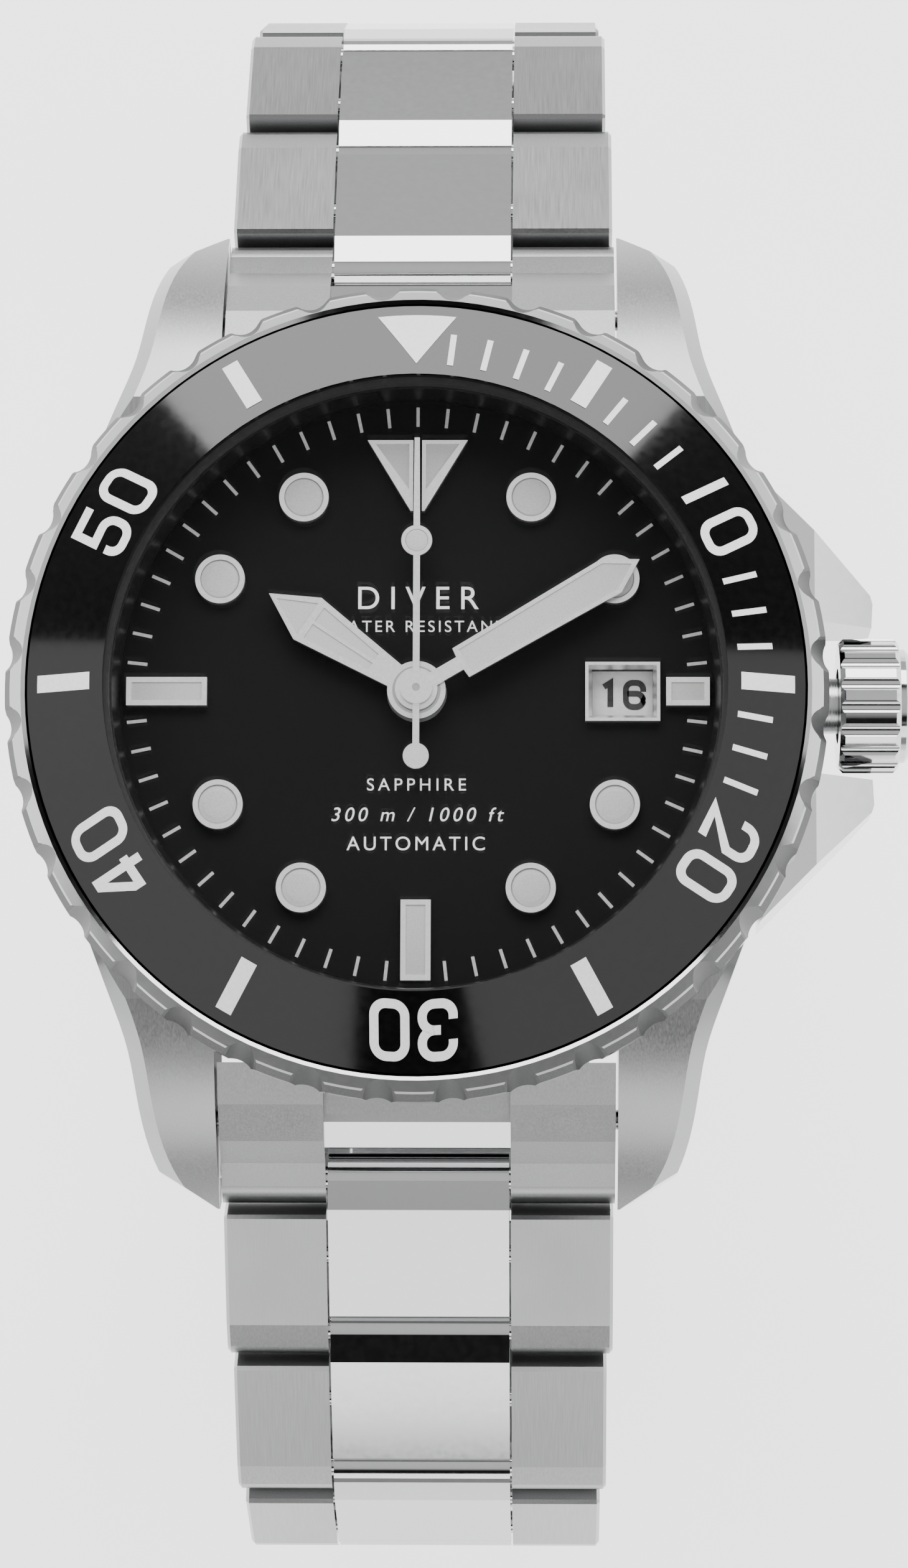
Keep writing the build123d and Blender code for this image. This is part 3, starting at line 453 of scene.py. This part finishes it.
SATIN = brushed_steel("satin_case")
SATIN_CROSS = brushed_steel("satin_cross", across="Y")
POLISH = polished_steel("polished_links")
HANDS = rhodium("rhodium_plate")
# A darker copy of polished steel for the bezel rim: painted shade.
RIM_PAINTED_SHADE = polished_steel("polished_rim_painted_shade", (0.36, 0.363, 0.366))
# A darker copy of polished steel, painted shade, for the case's flanks, bevels and neck and the
# outer flanks of the links and clasp cover.
POLISH_PAINTED_SHADE = polished_steel("polished_steel_painted_shade", (0.28, 0.283, 0.286))
# Lit and shaded copies of polished steel for the crown guards: a painted highlight on their flat
# tops, painted shade on their slopes.
GUARD_TOP_PAINTED_HIGHLIGHT = polished_steel("polished_guard_tops_painted_highlight", (0.74, 0.743, 0.746))
GUARD_SLOPE_PAINTED_SHADE = polished_steel("polished_guard_slopes_painted_shade", (0.25, 0.252, 0.254))
TURNED = turned_steel("turned_steel")
# Matte blasted finish; its near-black colour is painted shade in the scallops' hollows.
BLASTED_PAINTED_SHADE = grained("blasted_steel_painted_shade", (0.07, 0.071, 0.072), (0.11, 0.111, 0.112), (0.45, 0.55), 9000,
                  1.0, 0.15)
CERAMIC = ceramic("black_ceramic")
SAPPHIRE = sapphire("sapphire")
DIAL_BLACK = matte(grained("matte_black_lacquer", (0.002, 0.002, 0.0023), (0.005, 0.005, 0.0053),
                           (0.5, 0.7), 9000))
WALL_BLACK = grained("satin_black_lacquer", (0.004, 0.004, 0.0045), (0.010, 0.010, 0.011),
                     (0.3, 0.45), 5000)
WHITE_PAINT = grained("white_print", (0.84, 0.84, 0.84), (0.94, 0.94, 0.94), (0.4, 0.55), 6000)
GREY_PAINT = grained("grey_print", (0.40, 0.40, 0.40), (0.55, 0.55, 0.55), (0.4, 0.55), 6000)
LUME = grained("luminous_paste", (0.42, 0.425, 0.42), (0.52, 0.525, 0.515), (0.5, 0.75), 14000,
               0.0, 0.25)
BLACK_PRINT = grained("black_print", (0.01, 0.01, 0.01), (0.03, 0.03, 0.03), (0.4, 0.5), 6000)
DISC_WHITE = grained("white_lacquer", (0.74, 0.74, 0.735), (0.82, 0.82, 0.815), (0.3, 0.4), 4000)
RUBBER = grained("nitrile", (0.015, 0.015, 0.015), (0.03, 0.03, 0.03), (0.6, 0.8), 5000)
NYLON = grained("nylon", (0.72, 0.72, 0.68), (0.82, 0.82, 0.78), (0.4, 0.55), 4000)
NICKEL = grained("nickel_plate", (0.55, 0.54, 0.52), (0.68, 0.67, 0.64), (0.22, 0.36), 3000, 1.0)
GILT = grained("gilt", (0.66, 0.50, 0.24), (0.80, 0.63, 0.33), (0.2, 0.32), 3000, 1.0)
SPRING = grained("spring_steel", (0.30, 0.33, 0.42), (0.42, 0.45, 0.54), (0.2, 0.3), 3000, 1.0)
RUBY = grained("ruby", (0.42, 0.02, 0.12), (0.6, 0.05, 0.2), (0.05, 0.12), 3000)


def set_materials(name, materials, choose=None):
    """Put materials on a CAD node; choose(centre, normal) gives each face's index."""
    mesh = nodes[name].data
    mesh.materials.clear()
    for material in materials:
        mesh.materials.append(material)
    for face in mesh.polygons:
        face.material_index = choose(face.center / MM, face.normal) if choose else 0


def dress_cad_nodes():
    plain = {
        "bezel_insert": CERAMIC, "crystal": SAPPHIRE, "dial": DIAL_BLACK,
        "rehaut": WALL_BLACK, "hour_markers": HANDS, "hour_hand": HANDS, "minute_hand": HANDS,
        "seconds_hand": HANDS, "crown": POLISH, "crown_tube": TURNED, "winding_stem": TURNED,
        "case_gaskets": RUBBER, "crown_gasket": RUBBER, "bezel_retaining_ring": NYLON,
        "bezel_click_spring": SPRING, "mainspring": SPRING, "hairspring": SPRING, "jewels": RUBY,
        "date_disc": DISC_WHITE, "movement_screws": POLISH, "spring_bars": TURNED,
        "case_back": TURNED,
    }
    for name in ("movement_ring", "main_plate", "barrel_bridge", "train_bridge", "balance_cock",
                 "rotor"):
        plain[name] = NICKEL
    for name in ("mainspring_barrel", "great_wheel", "third_wheel", "minute_wheel",
                 "balance_wheel"):
        plain[name] = GILT
    for name in ("ratchet_wheel", "crown_wheel", "escape_wheel", "pallet_fork", "hour_wheel",
                 "cannon_pinion"):
        plain[name] = TURNED
    for name, material in plain.items():
        set_materials(name, [material])
    set_materials("fourth_wheel", [GILT, TURNED], fourth_wheel_finish)
    set_materials("case_middle", [SATIN, POLISH_PAINTED_SHADE, GUARD_TOP_PAINTED_HIGHLIGHT, GUARD_SLOPE_PAINTED_SHADE], case_finish)
    set_materials("bezel_ring", [RIM_PAINTED_SHADE, BLASTED_PAINTED_SHADE], bezel_finish)
    for hours in (12, 6):
        set_materials(f"end_link_{hours}", [SATIN, POLISH], end_link_finish)
        # The links on the 12 o'clock side get painted shade: their satin colour is darkened to 0.8.
        painted_shade = 0.8 if hours == 12 else 1.0
        for index, slope in enumerate(LINK_SLOPES):
            tilt = slope if hours == 12 else -slope
            satin = brushed_steel(f"satin_link_{hours}_{index + 1}", tilt, painted_shade=painted_shade)
            set_materials(f"link_{hours}_{index + 1}", [satin, POLISH, POLISH_PAINTED_SHADE], link_finish)
    set_materials("clasp_cover", [SATIN, POLISH_PAINTED_SHADE], link_finish_flat)
    set_materials("clasp_outer_blade", [SATIN])
    set_materials("clasp_inner_blade", [SATIN])
    set_materials("safety_latch", [SATIN_CROSS])


def fourth_wheel_finish(centre, normal):
    """The wheel is gilt; the end of its arbor, above the dial, is turned steel."""
    return 1 if centre.z > ARBOR_END_Z else 0


def case_finish(centre, normal):
    """Lug tops and the underside are satin; flanks, bevels, neck and crown guards are polished."""
    outer_bevel = abs(normal.x) > 0.35
    top = normal.z > 0.25 and not outer_bevel
    under = normal.z < -0.6
    # Crown guards: flat tops take the bright copy as painted highlight, slopes the dark copy as
    # painted shade.
    if centre.x > GUARD_X and abs(centre.y) < GUARD_Y and normal.z > 0.25:
        return 2 if normal.z > 0.95 else 3
    # Everything else on the case takes the darker polished copy: painted shade.
    return 0 if (top and hypot(centre.x, centre.y) > 17) or under else 1


def bezel_finish(centre, normal):
    """The scallops' hollow walls are matte blasted steel whose near-black colour is painted shade;
    everything else is polished.
    """
    radius = hypot(centre.x, centre.y)
    outward = (normal.x * centre.x + normal.y * centre.y) / max(radius, 1e-6)
    hollow = radius < BEZEL_EDGE_R - 0.02 or outward < 0.97
    on_grip = radius > SCALLOP_FLOOR_R and centre.z < SCALLOP_TOP_Z and abs(normal.z) < 0.45
    return 1 if on_grip and hollow else 0


def end_link_finish(centre, normal):
    """The step that shows between the side pieces is polished; its root is satin."""
    return 1 if abs(centre.x) < LINK_CENTRE_HALF + 0.1 and abs(centre.y) > ROOT_EDGE_Y else 0


def link_finish(centre, normal):
    """Centre pieces and outer flanks are polished, side pieces satin."""
    if abs(centre.x) < LINK_CENTRE_HALF:
        return 1
    # Outer flanks take the darker polished copy: painted shade.
    return 2 if abs(normal.x) > 0.4 else 0


def link_finish_flat(centre, normal):
    """The clasp cover's flanks are polished, the rest is satin."""
    # The flanks take the darker polished copy: painted shade.
    return 1 if abs(normal.x) > 0.4 else 0


# ---- bezel marks --------------------------------------------------------------------------
def bezel_marks():
    marks = Builder()
    marks.wedge((0.01, TRIANGLE_HALF), TRIANGLE_INNER, MARK_OUTER, 0, PAINT, cone_place(0))
    for minute in (1, 2, 3, 4, 6, 7, 8, 12, 13, 14, 16, 17, 18):
        marks.bar(MINUTE_MARK_HALF, MINUTE_MARK_INNER, MINUTE_MARK_OUTER, 0, PAINT,
                  cone_place(6 * minute))
    for minute in (5, 15, 25, 35, 45, 55):
        marks.bar(FIVE_MARK_HALF, FIVE_MARK_INNER, MARK_OUTER, 0, PAINT, cone_place(6 * minute))
    for minute in (10, 20, 30, 40, 50):
        digits = str(minute).replace("1", "I")
        write_digits(marks, digits, NUMERAL_R, NUMERAL_SIZE, cone_place(6 * minute), 0, PAINT)
    add_piece("bezel_marks", marks.finish("bezel_marks"), "bezel", WHITE_PAINT)


# ---- dial printing and luminous fillings --------------------------------------------------
def dial_ticks():
    ticks = Builder()
    for minute in range(60):
        if minute in (15, 30, 45):
            continue
        bar = [(-TICK_HALF, TICK_INNER), (TICK_HALF, TICK_INNER),
               (TICK_HALF, TICK_OUTER), (-TICK_HALF, TICK_OUTER)]
        ticks.prism(bar, 0, PAINT, flat_place(6 * minute, DIAL_TOP))
    track = ticks.finish("dial_minute_track")
    add_piece("dial_minute_track", track, "head", GREY_PAINT)


def dial_words():
    """Plain generic words in the built-in typeface: text, y, size, spacing, slant."""
    lines = (("DIVER", 4.7, 1.65, 1.5, 0.0), ("WATER RESISTANT", 3.3, 0.82, 1.3, 0.0),
             ("SAPPHIRE", -4.65, 0.88, 1.4, 0.0), ("300 m / 1000 ft", -6.15, 0.98, 1.35, 0.22),
             ("AUTOMATIC", -7.6, 0.98, 1.3, 0.0))
    for index, (words, y, size, spacing, shear) in enumerate(lines):
        curve = bpy.data.curves.new(f"words_{index}", "FONT")
        curve.body = words
        curve.size = size * MM
        curve.align_x = "CENTER"
        curve.align_y = "CENTER"
        curve.space_character = spacing
        curve.shear = shear
        curve.extrude = PAINT / 2
        holder = bpy.data.objects.new(f"words_holder_{index}", curve)
        bpy.context.scene.collection.objects.link(holder)
        mesh = bpy.data.meshes.new_from_object(holder)
        bpy.data.objects.remove(holder)
        mesh.transform(Matrix.Translation((0, y * MM, DIAL_TOP + PAINT / 2)))
        add_piece(f"dial_words_{index}", mesh, "head", WHITE_PAINT)


def domed_disc(builder, x, y, radius, low, high, steps=40):
    """A luminous plot: a low dome with a rounded edge."""
    rings = ((1.0, 0.0), (1.0, 0.55), (0.93, 0.82), (0.7, 0.95), (0.35, 1.0))
    loops = []
    for share, rise in rings:
        height = low + (high - low) * rise
        loops.append([builder.mesh.verts.new((px * MM, py * MM, height))
                      for px, py in circle(x, y, radius * share, steps)])
    for lower, upper in zip(loops, loops[1:]):
        for i in range(steps):
            j = (i + 1) % steps
            builder.mesh.faces.new([lower[i], lower[j], upper[j], upper[i]])
    builder.mesh.faces.new(loops[-1])
    builder.mesh.faces.new(list(reversed(loops[0])))


def marker_lume():
    """Fillings of the hour markers' pockets."""
    fill = Builder()
    low, high = DIAL_TOP + 0.12 * MM, MARKER_TOP - 0.05 * MM
    for hour in (1, 2, 4, 5, 7, 8, 10, 11):
        angle = radians(30 * hour)
        x, y = PLOT_RING_R * sin(angle), PLOT_RING_R * cos(angle)
        domed_disc(fill, x, y, PLOT_R, low, high + 0.04 * MM)
    batons = ((90, 12.35, 14.5, 1.42), (180, 10.4, 14.4, 1.48), (270, 10.4, 14.4, 1.42))
    for clock, inner, outer, width in batons:
        half, first, last = width / 2 - FRAME_WALL, inner + FRAME_WALL, outer - FRAME_WALL
        bar = [(-half, first), (half, first), (half, last), (-half, last)]
        fill.prism(bar, 0, high - low, flat_place(clock, low))
    for side in (1, -1):
        outline = [(side * 0.425, 12.495), (side * 2.07, 12.495), (side * 0.425, 10.215)]
        fill.prism(outline, 0, high - low, flat_place(0, low))
    add_piece("marker_lume", fill.finish("marker_lume"), "head", LUME)


def hand_lume():
    """Fillings of the three hands."""
    rest = 0.04 * MM
    hour = Builder()
    place = flat_place(HOUR_CLOCK, HOUR_TOP - HAND_THICKNESS + rest)
    top = HAND_THICKNESS - 2 * rest
    for side in (1, -1):
        window = [(side * 0.095, 2.555), (side * 0.445, 2.555),
                  (side * 0.9, 6.115), (side * 0.095, 6.115)]
        hour.prism(window, 0, top, place)
    hour.prism([(-0.91, 6.485), (0.91, 6.485), (0.0, 8.34)], 0, top, place)
    add_piece("hour_hand_lume", hour.finish("hour_hand_lume"), "hour", LUME)
    minute = Builder()
    place = flat_place(MINUTE_CLOCK, MINUTE_TOP - HAND_THICKNESS + rest)
    blade = [(-0.615, 2.805), (0.615, 2.805), (0.755, 11.1), (0.0, 12.34), (-0.755, 11.1)]
    minute.prism(blade, 0, top, place)
    filling = minute.finish("minute_hand_lume")
    add_piece("minute_hand_lume", filling, "minute", LUME)
    seconds = Builder()
    domed_disc(seconds, 0, SECONDS_DISC_Y, SECONDS_DISC_R, SECONDS_LOW + 0.01 * MM,
               SECONDS_LOW + 0.16 * MM)
    filling = seconds.finish("seconds_hand_lume")
    add_piece("seconds_hand_lume", filling, "seconds", LUME)


def date_numerals():
    """1 to 31 round the date disc, with 16 in the window at rest."""
    numbers = Builder()
    for day in range(1, DATE_DAYS + 1):
        turn = (day - DATE_AT_REST) * 360 / DATE_DAYS
        base = flat_place(-turn, DATE_TOP)

        def place(x, y, z, base=base):
            return base(x + DATE_R, y, z)
        write_digits(numbers, str(day), 0, DATE_SIZE, place, 0, PAINT)
    add_piece("date_numerals", numbers.finish("date_numerals"), "date", BLACK_PRINT)


# ---- stage --------------------------------------------------------------------------------
def along_y(tree, vector, places, levels, mirrored=False):
    """A level that changes with Y between two places, on both sides of the X axis if mirrored."""
    split = tree.nodes.new("ShaderNodeSeparateXYZ")
    tree.links.new(vector, split.inputs[0])
    distance = split.outputs["Y"]
    if mirrored:
        size = node(tree, "ShaderNodeMath")
        size.operation = "ABSOLUTE"
        tree.links.new(distance, size.inputs[0])
        distance = size.outputs[0]
    spread = tree.nodes.new("ShaderNodeMapRange")
    spread.interpolation_type = "SMOOTHSTEP"
    for key, value in zip(("From Min", "From Max", "To Min", "To Max"), (*places, *levels)):
        spread.inputs[key].default_value = value
    tree.links.new(distance, spread.inputs["Value"])
    return spread.outputs["Result"]


def floor():
    """A pale floor with a painted pool of light: it glows brightly under the watch and fades
    further out.
    """
    mesh = bpy.data.meshes.new("floor")
    size = 2.0
    corners = [(x * size, y * size, FLOOR_Z) for x, y in ((-1, -1), (1, -1), (1, 1), (-1, 1))]
    mesh.from_pydata(corners, [], [(0, 1, 2, 3)])
    piece = bpy.data.objects.new("floor", mesh)
    bpy.context.scene.collection.objects.link(piece)
    material = grained("pale_floor", (0.86, 0.86, 0.86), (0.9, 0.9, 0.9), (0.6, 0.7), 40)
    tree = material.node_tree
    shader = tree.nodes["Principled BSDF"]
    shader.inputs["Emission Color"].default_value = (1, 1, 1, 1)
    coords = tree.nodes.new("ShaderNodeTexCoord")
    # Painted glow: emission strength 1.6 near the watch, falling to 0.3 further out.
    painted_glow = along_y(tree, coords.outputs["Object"], (0.07, 0.17), (1.6, 0.3), mirrored=True)
    tree.links.new(painted_glow, shader.inputs["Emission Strength"])
    mesh.materials.append(material)


def soft_box(name, clock_degrees, elevation, distance, size, power):
    """An area light that looks at the dial from a clock direction and an elevation."""
    light = bpy.data.lights.new(name, "AREA")
    light.shape = "RECTANGLE"
    light.size, light.size_y = size
    light.energy = power
    holder = bpy.data.objects.new(name, light)
    bpy.context.scene.collection.objects.link(holder)
    angle, rise = radians(clock_degrees), radians(elevation)
    away = Vector((sin(angle) * cos(rise), cos(angle) * cos(rise), sin(rise)))
    holder.location = away * distance
    holder.rotation_euler = away.to_track_quat("Z", "Y").to_euler()


def lights():
    """Six soft boxes and a sky that is bright at the horizon and overhead, dark in between."""
    world = bpy.data.worlds.new("studio")
    world.use_nodes = True
    tree = world.node_tree
    coords = tree.nodes.new("ShaderNodeTexCoord")
    split = tree.nodes.new("ShaderNodeSeparateXYZ")
    ramp = tree.nodes.new("ShaderNodeValToRGB")
    stops = ((0.0, 0.9), (1.0, 1.0), (0.37, 0.9), (0.47, 0.2), (0.6, 0.015), (0.86, 0.02),
             (0.93, 0.9))
    for index, (place, level) in enumerate(stops):
        stop = ramp.color_ramp.elements[index] if index < 2 else ramp.color_ramp.elements.new(place)
        stop.position = place
        stop.color = (level, level, level, 1)
    tree.links.new(coords.outputs["Generated"], split.inputs[0])
    tree.links.new(split.outputs["Z"], ramp.inputs["Fac"])
    tree.links.new(ramp.outputs["Color"], tree.nodes["Background"].inputs["Color"])
    strength = along_y(tree, coords.outputs["Generated"], (-0.85, -0.3), (0.5, 1.0))
    tree.links.new(strength, tree.nodes["Background"].inputs["Strength"])
    bpy.context.scene.world = world
    soft_box("top_box", -1, 38, 0.6, (0.70, 0.34), 6.1)
    soft_box("right_box", 117.5, 46, 0.6, (0.83, 0.32), 1.25)
    soft_box("left_box", 244, 44, 0.6, (0.86, 0.28), 1.22)
    soft_box("low_box", 180, 28, 0.6, (0.4, 0.26), 1.0)
    soft_box("low_right_box", 88, 20, 0.6, (0.5, 0.2), 1.6)
    soft_box("low_left_box", 272, 14, 0.6, (0.5, 0.16), 1.2)


def camera():
    """A long lens that looks almost straight down at the dial, from slightly below 6 o'clock."""
    tilt, yaw, roll = radians(8.58), radians(-1.13), radians(-0.03)
    turn = (Matrix.Rotation(roll, 3, "Z") @ Matrix.Rotation(yaw, 3, "Y")
            @ Matrix.Rotation(-tilt, 3, "X"))
    away = Vector((1.843, -4.535, 251.0)) * MM
    place = turn.transposed() @ away + Vector((0, 0, DIAL_TOP))
    data = bpy.data.cameras.new("camera")
    data.sensor_width = 36
    data.lens = 116.2
    data.clip_start = 0.01
    holder = bpy.data.objects.new("camera", data)
    bpy.context.scene.collection.objects.link(holder)
    holder.matrix_world = Matrix.Translation(place) @ turn.transposed().to_4x4()
    bpy.context.scene.camera = holder


camera()
lights()
floor()
dress_cad_nodes()
bezel_marks()
dial_ticks()
dial_words()
marker_lume()
hand_lume()
date_numerals()
